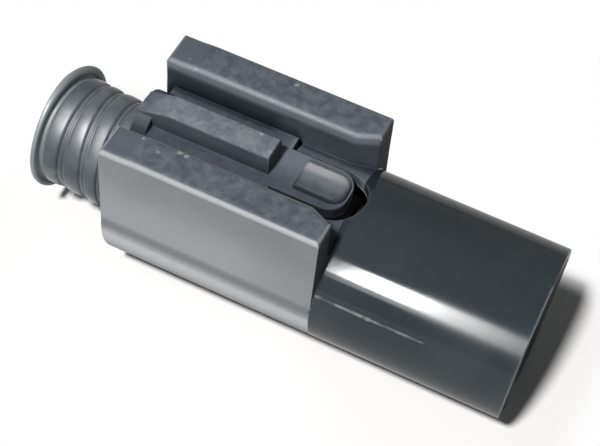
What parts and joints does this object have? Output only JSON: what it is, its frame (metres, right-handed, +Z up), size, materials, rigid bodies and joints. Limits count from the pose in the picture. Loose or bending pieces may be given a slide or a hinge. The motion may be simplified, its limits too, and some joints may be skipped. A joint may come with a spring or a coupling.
{
  "type": "cable connector",
  "caption": "Sealed cable connector: round plug-over hood, see-saw latch lever between two guard walls, and a ribbed rubber wire seal at the rear.",
  "frame": {"origin": "centre of the hood's mouth, on the connector's axis", "axes": "+X along the axis, out of the hood's mouth; +Z up through the latch lever; +Y across the guard walls"},
  "size_m": [0.0474, 0.016, 0.0188],
  "materials": {
    "housing_plastic": "black moulding, satin on the guard walls and smoother on the hood",
    "seal_rubber": "soft slate grey silicone rubber with a dull sheen",
    "retainer_plastic": "plain black moulding",
    "contact_brass": "rolled strip, bright",
    "sleeve_steel": "thin rolled strip"
  },
  "bodies": {
    "housing_body": {"housing": "housing_plastic", "wire_seal": "seal_rubber", "ring_seal": "seal_rubber", "contact": "contact_brass", "contact_sleeve": "sleeve_steel"},
    "latch": {"latch_lever": "housing_plastic"},
    "retainer": {"front_retainer": "retainer_plastic"}
  },
  "joints": [
    {"name": "latch_press", "type": "hinge", "parent": "housing_body", "child": "latch", "pos_m": [-0.029, 0, 0.007], "axis": [0, -1, 0], "range_deg": [0, 5], "stiffness_Nm_per_rad": 1.6},
    {"name": "retainer_slide", "type": "slide", "parent": "housing_body", "child": "retainer", "axis": [1, 0, 0], "range_m": [0, 0.0015]}
  ]
}
